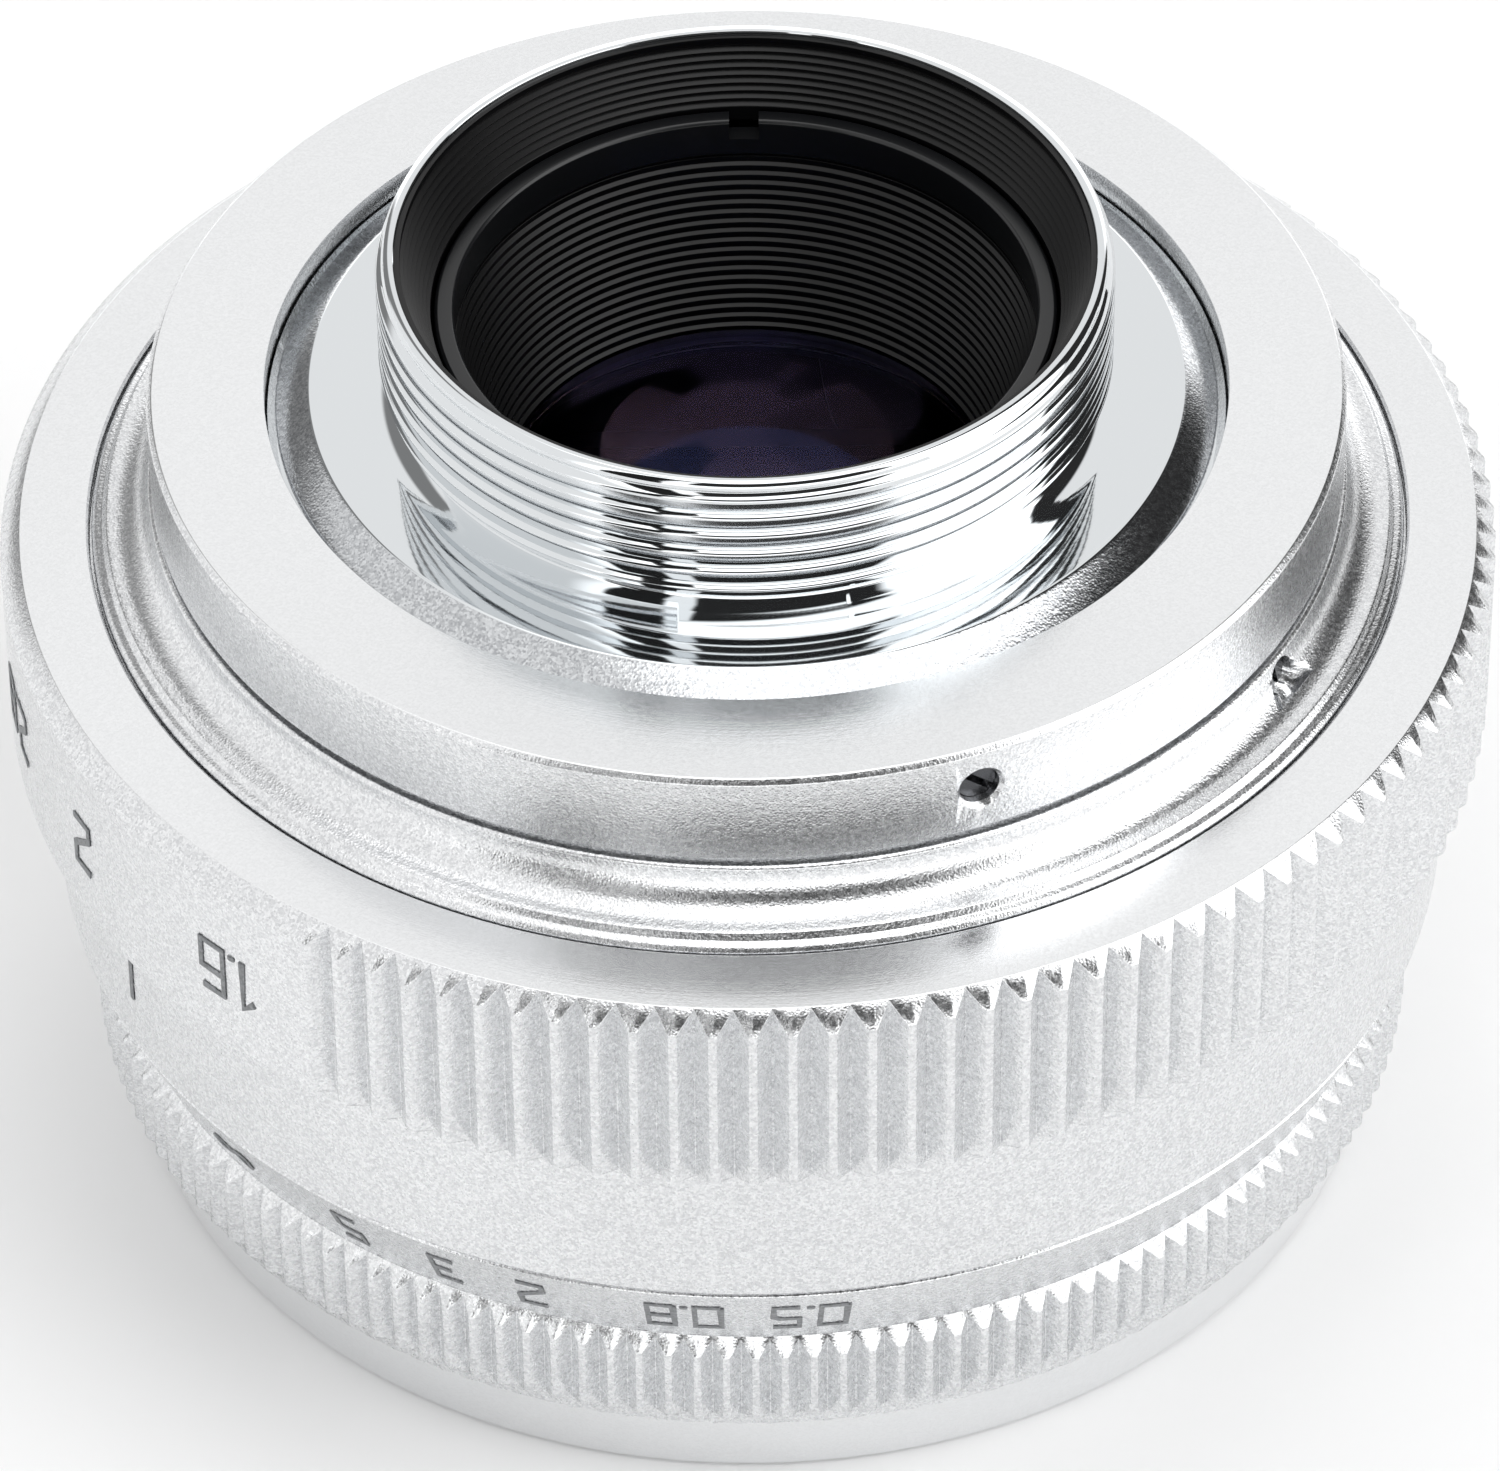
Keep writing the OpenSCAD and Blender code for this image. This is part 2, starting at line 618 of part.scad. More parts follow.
// Ribbed tube that presses on the rear element
module rear_light_trap() {
    ribs = 10;
    z0 = 26.05;
    z1 = 33.2;
    step = (z1 - 0.6 - z0) / ribs;
    rise = (10.02 - 8.5) / ribs;
    color("black") turned(concat(
        [[10.3, z0], [10.3, z1 - 1.8], [10.12, z1 - 1.75], [10.12, z1 - 0.6]],
        [for (i = [ribs - 1:-1:0]) for (k = [0, 1])
            k == 0 ? [8.5 + (i + 1) * rise, z0 + (i + 1) * step]
                   : [8.5 + i * rise + 0.3, z0 + (i + 0.25) * step]],
        [[8.5, z0]]
    ));
}

module rear_retaining_ring() {
    color("dimgray") difference() {
        turned([
            [10.04, 33.2], [10.04, 34.05], [10.14, 34.15], [cell_r - 0.07, 34.15], [cell_r + 0.03, 34.05],
            [cell_r + 0.03, 33.25], [cell_r - 0.1, 33.2], [10.35, 33.2], [10.35, 31.5], [10.16, 31.5],
            [10.16, 32.6], [10.04, 32.7]
        ]);
        spanner_slots(90, 9.5, 11, 33.35, 35, 1.05);
    }
}

// ---------------------------------------------------------------- nodes

mount_ring();
mount_set_screws();
rear_barrel();
rear_baffle();
rear_collar();
collar_set_screws();
main_barrel();
guide_key();
aperture_ring();
aperture_drive_pin();
focus_ring();
helicoid_sleeve();
helicoid_screws();
inner_barrel();
focus_circlip();
filter_ring();
name_ring();
front_cell();
front_retaining_ring();
front_element();
front_spacer();
second_element();
second_spacer();
third_element();
iris_plate();
iris_drive_ring();
for (i = [0:BLADES - 1])
    iris_blade(i);
rear_cell();
rear_cell_screws();
doublet_front_element();
doublet_rear_element();
rear_spacer();
rear_element();
rear_light_trap();
rear_retaining_ring();
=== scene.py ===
from math import asin, atan2, cos, degrees, hypot, pi, radians, sin

import bpy
from mathutils import Matrix, Vector


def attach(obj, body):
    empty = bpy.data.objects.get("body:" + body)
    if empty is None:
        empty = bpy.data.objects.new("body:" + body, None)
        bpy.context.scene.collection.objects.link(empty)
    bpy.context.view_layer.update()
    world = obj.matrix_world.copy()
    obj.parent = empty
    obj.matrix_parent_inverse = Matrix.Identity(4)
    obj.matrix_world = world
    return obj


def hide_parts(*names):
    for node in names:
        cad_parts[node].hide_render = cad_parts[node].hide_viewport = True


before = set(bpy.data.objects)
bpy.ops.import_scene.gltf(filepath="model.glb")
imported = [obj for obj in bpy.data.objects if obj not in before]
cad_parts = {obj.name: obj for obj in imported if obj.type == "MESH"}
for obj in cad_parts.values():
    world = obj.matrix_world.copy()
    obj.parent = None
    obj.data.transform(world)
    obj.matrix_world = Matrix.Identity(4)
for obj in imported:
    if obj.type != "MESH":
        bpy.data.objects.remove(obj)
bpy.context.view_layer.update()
MM = 0.001
AROUND = 360  # steps round a turned part


# ------------------------------------------------------------------ materials


def srgb(hex_colour):
    """A colour written as sRGB hex, as the linear RGBA that a shader wants."""
    parts = [int(hex_colour[i : i + 2], 16) / 255 for i in (0, 2, 4)]
    return [c / 12.92 if c <= 0.04045 else ((c + 0.055) / 1.055) ** 2.4 for c in parts] + [1.0]


def add(material, kind, links=None, **settings):
    """Adds one node. Settings name its properties or, with underscores for spaces, its inputs."""
    tree = material.node_tree
    node = tree.nodes.new(kind)
    for name, value in settings.items():
        if hasattr(node, name):
            setattr(node, name, value)
        else:
            node.inputs[name.replace("_", " ")].default_value = value
    for socket, source in (links or {}).items():
        tree.links.new(source, node.inputs[socket])
    return node


def new_material(name, **settings):
    """A material with its Principled shader set to plain values, ready for its pattern."""
    material = bpy.data.materials.new(name)
    material.use_nodes = True
    material.node_tree.nodes.clear()
    shader = add(material, "ShaderNodeBsdfPrincipled", **settings)
    add(material, "ShaderNodeOutputMaterial", {"Surface": shader.outputs[0]})
    return material, shader


def blasted(name, dull, bright, roughness, grain_mm, height_mm, ring_mm=0.0, anisotropy=0.0):
    """Bead-blasted metal under a thin clear anodic film: the grit leaves small dimples, and their
    glints are painted into the base colour as a random tone per grit cell between dull and bright; a
    faint turned line shows through where ring_mm is set."""
    material, shader = new_material(
        name, Metallic=1.0, Roughness=roughness, Anisotropic=anisotropy
    )
    links = material.node_tree.links
    place = add(material, "ShaderNodeTexCoord")
    grit = add(
        material,
        "ShaderNodeTexVoronoi",
        {"Vector": place.outputs["Object"]},
        feature="SMOOTH_F1",
        Scale=1 / (grain_mm * MM),
        Smoothness=0.6,
    )
    cloud = add(
        material,
        "ShaderNodeTexNoise",
        {"Vector": place.outputs["Object"]},
        Scale=1 / (grain_mm * 2.2 * MM),
        Detail=2.0,
    )
    height = add(
        material,
        "ShaderNodeMath",
        {0: grit.outputs["Distance"], 1: cloud.outputs[0]},
        operation="ADD",
    )
    bump = add(
        material,
        "ShaderNodeBump",
        {"Height": height.outputs[0]},
        Strength=1.0,
        Distance=height_mm * MM,
    )
    out = bump
    if ring_mm:
        out = add(
            material,
            "ShaderNodeBump",
            {"Height": turned_lines(material, place, ring_mm), "Normal": bump.outputs[0]},
            Strength=1.0,
            Distance=ring_mm * 0.025 * MM,
        )
        if anisotropy:
            around = add(material, "ShaderNodeTangent", direction_type="RADIAL", axis="Z")
            links.new(around.outputs[0], shader.inputs["Tangent"])
    # painted glints: each grit cell gets its own random tone of the base colour, standing in for the
    # way each dimple catches the light
    painted_glint_cells = add(
        material,
        "ShaderNodeTexVoronoi",
        {"Vector": place.outputs["Object"]},
        Scale=1 / (grain_mm * MM),
    )
    glint = add(material, "ShaderNodeSeparateColor", {0: painted_glint_cells.outputs["Color"]})
    tone = add(material, "ShaderNodeMix", {0: glint.outputs[0]}, data_type="RGBA")
    tone.inputs[6].default_value = srgb(dull)
    tone.inputs[7].default_value = srgb(bright)
    links.new(tone.outputs[2], shader.inputs["Base Color"])
    # the film is a little thicker in some grains than in others
    shade = add(
        material,
        "ShaderNodeMapRange",
        {"Value": cloud.outputs[0]},
        From_Min=0.3,
        From_Max=0.7,
        To_Min=roughness * 0.85,
        To_Max=roughness * 1.2,
    )
    links.new(shade.outputs[0], shader.inputs["Roughness"])
    links.new(out.outputs[0], shader.inputs["Normal"])
    return material


def turned_lines(material, place, spacing_mm):
    """Height of the fine lines that a lathe tool leaves: they run round the axis, so the
    pattern reads only the radius and the height of a point."""
    flat = add(
        material,
        "ShaderNodeVectorMath",
        {0: place.outputs["Object"]},
        operation="MULTIPLY",
    )
    flat.inputs[1].default_value = (1, 1, 0)
    radius = add(material, "ShaderNodeVectorMath", {0: flat.outputs[0]}, operation="LENGTH")
    split = add(material, "ShaderNodeSeparateXYZ", {0: place.outputs["Object"]})
    point = add(
        material,
        "ShaderNodeCombineXYZ",
        {0: radius.outputs["Value"], 2: split.outputs["Z"]},
    )
    lines = add(
        material,
        "ShaderNodeTexNoise",
        {"Vector": point.outputs[0]},
        Scale=1 / (spacing_mm * MM),
        Detail=3.0,
        Roughness=0.6,
    )
    return lines.outputs[0]


def turned(name, base, roughness, spacing_mm, depth, metallic=1.0, anisotropy=0.0, **settings):
    """Metal with its lathe lines left on: they draw the light out into fans across a flat
    face and into fine rings on a wall."""
    material, shader = new_material(
        name,
        Base_Color=srgb(base),
        Metallic=metallic,
        Roughness=roughness,
        Anisotropic=anisotropy,
        **settings,
    )
    links = material.node_tree.links
    place = add(material, "ShaderNodeTexCoord")
    bump = add(
        material,
        "ShaderNodeBump",
        {"Height": turned_lines(material, place, spacing_mm)},
        Strength=1.0,
        Distance=spacing_mm * depth * MM,
    )
    links.new(bump.outputs[0], shader.inputs["Normal"])
    if anisotropy:
        around = add(material, "ShaderNodeTangent", direction_type="RADIAL", axis="Z")
        links.new(around.outputs[0], shader.inputs["Tangent"])
    return material


# Clear-anodised aluminium, bead-blasted: pale, with small glints painted into its colour. Real grit
# marks are about 0.04 mm; they are drawn at 0.08 mm to show.
blasted_aluminium = blasted("clear_anodised_aluminium_blasted", "D2D3D5", "F2F3F4", 0.25, 0.08, 0.007)
# The same aluminium where the tool has faced it after blasting: silky, with fine rings and faint
# painted glints.
faced_aluminium = blasted(
    "clear_anodised_aluminium_faced", "E8E9EA", "EFF0F1", 0.2, 0.07, 0.0012, ring_mm=0.07,
    anisotropy=0.5,
)
# Bright chrome on turned brass: a mirror, with the ghost of the tool lines under it.
chrome = turned("bright_chrome_plate", "DFE2E4", 0.04, 0.2, 0.003)
# Chrome over a blasted band: grey and grainy, with painted glints in its colour.
blasted_chrome = blasted("satin_chrome_plate_blasted", "A9ABAE", "DCDEE0", 0.16, 0.08, 0.004)
# Black-anodised aluminium, turned: deep grey with a soft shine on the crests.
black_anodised = turned(
    "black_anodised_aluminium_turned", "060607", 0.34, 0.1, 0.02, metallic=0.0, anisotropy=0.3,
    Specular_IOR_Level=0.32,
)
# The same finish on plain faces: finer lines, a little more shine.
black_satin = turned(
    "black_anodised_aluminium_satin", "101113", 0.28, 0.06, 0.012, metallic=0.0,
    Specular_IOR_Level=0.5,
)
# Black oxide on cut steel screws.
black_oxide = turned("black_oxide_steel_turned", "5E5F62", 0.24, 0.05, 0.03)
# Bright spring steel, rolled and ground.
spring_steel = turned("spring_steel_ground", "8E9093", 0.28, 0.05, 0.02)
# Blackened blade steel, thin and slightly oily.
blade_steel = turned("iris_blade_steel_blackened", "0D0E10", 0.4, 0.06, 0.02, metallic=0.4)
# Free-cutting brass, turned.
brass = turned("brass_turned", "C9A35A", 0.24, 0.06, 0.02)


def lens_glass(name, film_nm, tint):
    """Optical crown glass, polished, with a hard anti-reflection film. The film's thickness
    and the tint set the colour of the small reflection that is left: blue or dull red."""
    material, shader = new_material(
        name,
        Base_Color=srgb("F4F6FF"),
        Roughness=0.0,
        IOR=1.55,
        Transmission_Weight=1.0,
        Thin_Film_Thickness=film_nm,
        Thin_Film_IOR=1.38,
        Specular_Tint=srgb(tint),
    )
    place = add(material, "ShaderNodeTexCoord")
    polish = add(
        material,
        "ShaderNodeTexNoise",
        {"Vector": place.outputs["Object"]},
        Scale=1 / (4 * MM),
        Detail=1.0,
    )
    haze = add(
        material,
        "ShaderNodeMapRange",
        {"Value": polish.outputs[0]},
        To_Min=0.0,
        To_Max=0.02,
    )
    material.node_tree.links.new(haze.outputs[0], shader.inputs["Roughness"])
    return material


blue_glass = lens_glass("optical_glass_blue_coating", 150.0, "8486B4")
red_glass = lens_glass("optical_glass_red_coating", 112.0, "8E7C88")


def marking_paint():
    """Grey enamel wiped into the engraved figures: flat, a little uneven."""
    material, shader = new_material("grey_engraving_enamel", Roughness=0.55)
    place = add(material, "ShaderNodeTexCoord")
    fill = add(
        material,
        "ShaderNodeTexNoise",
        {"Vector": place.outputs["Object"]},
        Scale=1 / (0.12 * MM),
        Detail=2.0,
    )
    tone = add(material, "ShaderNodeValToRGB", {0: fill.outputs[0]})
    tone.color_ramp.elements[0].position = 0.35
    tone.color_ramp.elements[0].color = srgb("6E7072")
    tone.color_ramp.elements[1].position = 0.7
    tone.color_ramp.elements[1].color = srgb("8F9193")
    material.node_tree.links.new(tone.outputs[0], shader.inputs["Base Color"])
    return material


enamel = marking_paint()


# ------------------------------------------------------------------ modelling


def start(name):
    """A new mesh in edit mode that holds a single point at the origin."""
    if bpy.context.mode != "OBJECT":
        bpy.ops.object.mode_set(mode="OBJECT")
    bpy.ops.object.select_all(action="DESELECT")
    bpy.ops.mesh.primitive_plane_add(size=MM)
    piece = bpy.context.object
    piece.name = piece.data.name = name
    bpy.ops.object.mode_set(mode="EDIT")
    bpy.ops.mesh.select_all(action="SELECT")
    bpy.ops.mesh.merge(type="CENTER")
    return piece


def draw(outline, closed=True):
    """Extrudes the point along an outline of (radius, height) in millimetres."""
    x, z = outline[0]
    bpy.ops.transform.translate(value=(x * MM, 0, z * MM))
    for r1, z1 in outline[1:] + outline[:1] * closed:
        bpy.ops.mesh.extrude_region_move(
            TRANSFORM_OT_translate={"value": ((r1 - x) * MM, 0, (z1 - z) * MM)}
        )
        x, z = r1, z1


def spin(angle, steps, dupli=False):
    bpy.ops.mesh.spin(
        steps=steps, angle=angle, center=(0, 0, 0), axis=(0, 0, -1), dupli=dupli,
        use_auto_merge=False,
    )


def finish_mesh(piece, sharp=28):
    """Merges the seams, turns every face outwards, smooths all but real edges and lets the
    large faces keep their own direction beside a small round."""
    bpy.ops.mesh.select_all(action="SELECT")
    bpy.ops.mesh.remove_doubles(threshold=0.0006 * MM)
    bpy.ops.mesh.normals_make_consistent(inside=False)
    bpy.ops.object.mode_set(mode="OBJECT")
    smooth(piece, sharp)
    return piece


def smooth(piece, sharp=28):
    bpy.ops.object.select_all(action="DESELECT")
    piece.select_set(True)
    bpy.context.view_layer.objects.active = piece
    bpy.ops.object.shade_smooth_by_angle(angle=radians(sharp))
    weighted = piece.modifiers.new("weighted", "WEIGHTED_NORMAL")
    weighted.keep_sharp = True
    weighted.weight = 100
    bpy.ops.object.modifier_apply(modifier=weighted.name)


def eased(outline, radius=0.05, skip=()):
    """The outline with each sharp corner broken by a small round, in millimetres."""
    out = []
    n = len(outline)
    for i, (x, z) in enumerate(outline):
        px, pz = outline[i - 1]
        nx, nz = outline[(i + 1) % n]
        a, b = Vector((px - x, pz - z)), Vector((nx - x, nz - z))
        turn = a.angle(-b) if a.length and b.length else 0
        if i in skip or turn < radians(20):
            out.append((x, z))
            continue
        cut = min(radius, a.length * 0.45, b.length * 0.45)
        p, q = Vector((x, z)) + a.normalized() * cut, Vector((x, z)) + b.normalized() * cut
        for t in (0, 0.33, 0.67, 1):
            m = Vector((x, z))
            out.append(tuple(p * (1 - t) ** 2 + m * 2 * t * (1 - t) + q * t * t))
    return out


def lathe(name, outline, steps=AROUND, ease=0.05):
    """A turned part: its outline, with eased corners, spun round the axis."""
    piece = start(name)
    draw(eased(outline, ease) if ease else outline)
    bpy.ops.mesh.select_all(action="SELECT")
    spin(2 * pi, steps)
    return finish_mesh(piece)


def give(piece, *materials):
    piece.data.materials.clear()
    for material in materials:
        piece.data.materials.append(material)


def paint(piece, slot, chosen):
    """Gives a material slot to the faces whose centre and normal pass the test."""
    for face in piece.data.polygons:
        c = face.center / MM
        if chosen(hypot(c.x, c.y), c.z, face.normal, c):
            face.material_index = slot


def fit(piece, body, slot_name, *nodes):
    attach(piece, body)
    if nodes:
        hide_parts(*nodes)
    return piece


def cut(piece, tools):
    """Cuts each tool out of the piece, then clears the tools away."""
    for tool in tools:
        bpy.ops.object.select_all(action="DESELECT")
        bpy.context.view_layer.objects.active = piece
        piece.select_set(True)
        boolean = piece.modifiers.new("cut", "BOOLEAN")
        boolean.object = tool
        boolean.operation = "DIFFERENCE"
        boolean.solver = "EXACT"
        bpy.ops.object.modifier_apply(modifier=boolean.name)
        bpy.data.objects.remove(tool)
    smooth(piece)


def radial_tool(azimuth, z, r0, r1, width0, width1):
    """A cone that lies along a radius, its ends at r0 and r1."""
    bpy.ops.object.select_all(action="DESELECT")
    bpy.ops.mesh.primitive_cone_add(
        vertices=48, radius1=width0 * MM, radius2=width1 * MM, depth=(r1 - r0) * MM
    )
    tool = bpy.context.object
    middle = (r0 + r1) / 2 * MM
    tool.data.transform(
        Matrix.Rotation(radians(azimuth), 4, "Z")
        @ Matrix.Translation((middle, 0, z * MM))
        @ Matrix.Rotation(pi / 2, 4, "Y")
    )
    return tool


def arc_tool(first, last, r0, r1, z0, z1):
    """A block bent round the axis from the first azimuth to the last."""
    tool = start("arc")
    draw([(r0, z0), (r1, z0), (r1, z1), (r0, z1)])
    bpy.ops.mesh.select_all(action="SELECT")
    bpy.ops.mesh.remove_doubles(threshold=0.0006 * MM)
    bpy.ops.mesh.edge_face_add()
    bpy.ops.mesh.select_all(action="SELECT")
    spin(radians(last - first), 60)
    finish_mesh(tool)
    tool.data.transform(Matrix.Rotation(radians(first), 4, "Z"))
    return tool


# ------------------------------------------------------------------ mount ring

PITCH = 25.4 / 32  # 32 threads to the inch


def mount_ring():
    """Chrome-plated ring: thread collar, cove, mirror-bright flange face and skirt."""
    body = start("mount_ring_chrome")
    draw(
        eased(
            [
                (12.4, 36.6), (12.06, 36.6), (12.06, 33.6), (11, 33.6), (11, 31), (12.5, 30),
                (12.5, 27.6), (16.65, 27.6), (16.65, 28.7), (16.3, 29.0), (16.3, 29.4), (16.65, 29.7),
                (16.65, 30.02), (16.33, 30.06), (16.33, 30.16), (16.14, 30.22),
                (15.3, 30.82), (15.15, 30.9), (13.1, 30.9), (12.45, 31.1), (12.12, 31.25),
                (12.1, 31.4),
            ],
            0.06,
            skip=(0, 22),
        ),
        closed=False,
    )
    bpy.ops.mesh.select_all(action="SELECT")
    spin(2 * pi, AROUND)
    finish_mesh(body)
    thread = start("thread")
    # wide polished crests with narrow roots between them
    wave = [
        (12.44, 30.9), (12.46, 30.93), (12.64, 31.03), (12.685, 31.07), (12.7, 31.13),
        (12.7, 31.47), (12.685, 31.53), (12.64, 31.57), (12.46, 31.67), (12.44, 30.9 + PITCH),
    ]
    draw(wave, closed=False)
    bpy.ops.object.mode_set(mode="OBJECT")
    screw = thread.modifiers.new("screw", "SCREW")
    screw.axis = "Z"
    screw.angle = 2 * pi
    screw.screw_offset = PITCH * MM
    screw.iterations = 7
    screw.steps = screw.render_steps = AROUND
    screw.use_smooth_shade = True
    bpy.ops.object.modifier_apply(modifier=screw.name)
    bpy.ops.object.mode_set(mode="EDIT")
    bpy.ops.mesh.select_all(action="SELECT")
    bpy.ops.mesh.remove_doubles(threshold=0.0006 * MM)
    for z, normal in ((36.3, 1), (31.7, -1)):
        bpy.ops.mesh.select_all(action="SELECT")
        bpy.ops.mesh.bisect(
            plane_co=(0, 0, z * MM), plane_no=(0, 0, normal), clear_outer=True, threshold=1e-7
        )
    bpy.ops.object.mode_set(mode="OBJECT")
    # the crests sink to the root at both ends, as a real thread runs out
    for vertex in thread.data.vertices:
        r, z = hypot(vertex.co.x, vertex.co.y) / MM, vertex.co.z / MM
        left = max(0.0, min(1.0, (z - 31.7) / 0.45, (36.3 - z) / 0.2))
        wanted = 12.44 + (r - 12.44) * left * left * (3 - 2 * left)
        vertex.co.x *= wanted / r
        vertex.co.y *= wanted / r
    bpy.ops.object.select_all(action="DESELECT")
    thread.select_set(True)
    body.select_set(True)
    bpy.context.view_layer.objects.active = body
    bpy.ops.object.join()
    bpy.ops.object.mode_set(mode="EDIT")
    for low, high in ((36.2, 36.7), (31.3, 31.8)):
        bpy.ops.mesh.select_mode(type="EDGE")
        bpy.ops.mesh.select_all(action="DESELECT")
        bpy.ops.mesh.select_non_manifold(use_multi_face=False, use_non_contiguous=False)
        bpy.ops.object.mode_set(mode="OBJECT")
        for edge in body.data.edges:
            z = body.data.vertices[edge.vertices[0]].co.z / MM
            edge.select = edge.select and low < z < high
        bpy.ops.object.mode_set(mode="EDIT")
        bpy.ops.mesh.bridge_edge_loops()
    bpy.ops.mesh.select_mode(type="VERT")
    finish_mesh(body, 40)
    give(body, chrome, blasted_chrome)
    paint(body, 1, lambda r, z, n, c: 15.25 < r and 30.05 < z < 30.86)
    return fit(body, "barrel", "chrome_plate", "mount_ring")


mount_ring()

# ------------------------------------------------------------------ rear barrel

MOUNT_SCREWS = [-68.4, 51.6, 171.6]
COLLAR_SCREWS = [-30.5, 149.5]

rear = lathe(
    "rear_barrel_cap",
    [
        (17.6, 25.55), (19.55, 25.55), (19.55, 27.15), (20.3, 27.15), (20.3, 27.45),
        (20.8, 27.45), (20.8, 30.72), (20.62, 30.9), (16.72, 30.9), (16.7, 27.5),
        (14.2, 27.5), (14.2, 27.3), (17.6, 27.3),
    ],
    ease=0.04,
)
cut(
    rear,
    [radial_tool(a, 29.2, 15.8, 21.2, 0.72, 0.72) for a in MOUNT_SCREWS]
    + [radial_tool(a, 29.2, 20.62, 21.0, 0.7, 1.05) for a in MOUNT_SCREWS],
)
give(rear, blasted_aluminium, faced_aluminium)
paint(rear, 1, lambda r, z, n, c: z > 30.87)
fit(rear, "barrel", "satin_aluminium", "rear_barrel")

# ------------------------------------------------------------------ rear collar

COVE = [
    (21.95 + 0.42 + 1.45 * cos(radians(a)), 25.75 + 1.37 + 1.45 * sin(radians(a)))
    for a in range(266, 181, -6)
]
collar = lathe(
    "rear_collar_cove",
    [(19.6, 24.85), (22.97, 24.85), (22.97, 25.2), (22.82, 25.35), (22.6, 25.42)]
    + [(22.45, 25.64)] + COVE + [(20.8, 27.15), (19.6, 27.15)],
    ease=0.05,
)
cut(
    collar,
    [radial_tool(a, 26.25, 19.05, 21.65, 0.72, 0.72) for a in COLLAR_SCREWS]
    + [radial_tool(a, 26.25, 21.02, 21.65, 0.72, 1.35) for a in COLLAR_SCREWS],
)
give(collar, blasted_aluminium, faced_aluminium)
fit(collar, "barrel", "satin_aluminium", "rear_collar")

# ------------------------------------------------------------------ fixed barrel

neck = lathe(
    "main_barrel_neck",
    [
        (17.6, 16.9), (20, 16.9), (20, 8.1), (22.9, 8.1), (22.9, 10.95), (24.75, 10.95),
        (24.8, 11.0), (24.8, 17.24), (24.74, 17.3), (21.9, 17.3), (21.9, 24.85),
        (19.6, 24.85), (19.6, 25.55), (17.6, 25.55),
    ],
    ease=0.04,
)
# the window that the drive pin swings in, and the hole of the guide key
cut(
    neck,
    [
        arc_tool(-21, 78.2, 16.6, 22.9, 18.3, 19.5),
        radial_tool(200, 24, 16.6, 22.9, 0.6, 0.6),
        radial_tool(200, 24, 20.8, 22.9, 0.75, 0.75),
    ],
)
give(neck, blasted_aluminium)
fit(neck, "barrel", "satin_aluminium", "main_barrel")

# ------------------------------------------------------------------ gripped rings


def place_of(vertex):
    return hypot(vertex.co.x, vertex.co.y) / MM, vertex.co.z / MM


def move_rows(piece, rows, there):
    """Moves the selected column of points between the land's outline and the groove's."""
    bpy.ops.object.mode_set(mode="OBJECT")
    for vertex in piece.data.vertices:
        if vertex.select:
            r, z = place_of(vertex)
            pairs = [(a, b) if there else (b, a) for a, b in rows]
            start_at, end_at = min(pairs, key=lambda p: hypot(p[0][0] - r, p[0][1] - z))
            vertex.co.x *= end_at[0] / r
            vertex.co.y *= end_at[0] / r
            vertex.co.z = end_at[1] * MM
    bpy.ops.object.mode_set(mode="EDIT")


def gripped_ring(name, rows, divisions, first, count, land_mm, radius, ease):
    """A turned ring with V grooves milled down its wall. One groove and its land are
    modelled, copied round the ring, and the rest of the wall is spun plain. Each row is a
    point of the outline on the land, and the same point at the bottom of a groove."""
    pitch = 2 * pi / divisions
    land = land_mm / radius
    half = (pitch - land) / 2
    piece = start(name)
    draw([crest for crest, root in rows])
    bpy.ops.mesh.select_all(action="SELECT")
    spin(half, 1)
    move_rows(piece, rows, True)
    spin(half, 1)
    move_rows(piece, rows, False)
    spin(land, 1)
    bpy.ops.mesh.select_all(action="SELECT")
    spin(pitch * (count - 1), count - 1, dupli=True)
    if count < divisions:
        bpy.ops.object.mode_set(mode="OBJECT")
        end = pitch * count
        for vertex in piece.data.vertices:
            angle = atan2(vertex.co.y, vertex.co.x) % (2 * pi)
            vertex.select = abs(angle - end) < 1e-4
        for edge in piece.data.edges:
            edge.select = all(piece.data.vertices[v].select for v in edge.vertices)
        for face in piece.data.polygons:
            face.select = False
        bpy.ops.object.mode_set(mode="EDIT")
        spin(2 * pi - end, (divisions - count) * 3)
    bpy.ops.mesh.select_all(action="SELECT")
    bpy.ops.mesh.remove_doubles(threshold=0.0006 * MM)
    bpy.ops.mesh.normals_make_consistent(inside=False)
    bpy.ops.object.mode_set(mode="OBJECT")
    piece.data.transform(Matrix.Rotation(first * pitch + land / 2, 4, "Z"))
    bevel = piece.modifiers.new("edges", "BEVEL")
    bevel.width = ease * MM
    bevel.segments = 1
    bevel.limit_method = "ANGLE"
    bevel.angle_limit = radians(28)
    bpy.ops.object.modifier_apply(modifier=bevel.name)
    smooth(piece, 36)
    return piece


aperture = gripped_ring(
    "aperture_ring_gripped",
    [
        ((21.95, 17.4), (21.95, 17.4)), ((25.9, 17.4), (25.55, 17.4)),
        ((26.2, 17.7), (25.55, 17.43)), ((26.2, 24.45), (25.55, 25.07)),
        ((25.5, 25.12), (25.5, 25.12)), ((23.17, 25.3), (23.17, 25.3)),
        ((23.07, 25.2), (23.07, 25.2)), ((23.07, 24.75), (23.07, 24.75)),
        ((21.95, 24.75), (21.95, 24.75)),
    ],
    124, -43, 85, 0.27, 26.2, 0.025,
)
give(aperture, blasted_aluminium, faced_aluminium)
paint(aperture, 1, lambda r, z, n, c: n.z > 0.9 and z > 25)
fit(aperture, "aperture_ring", "satin_aluminium", "aperture_ring")

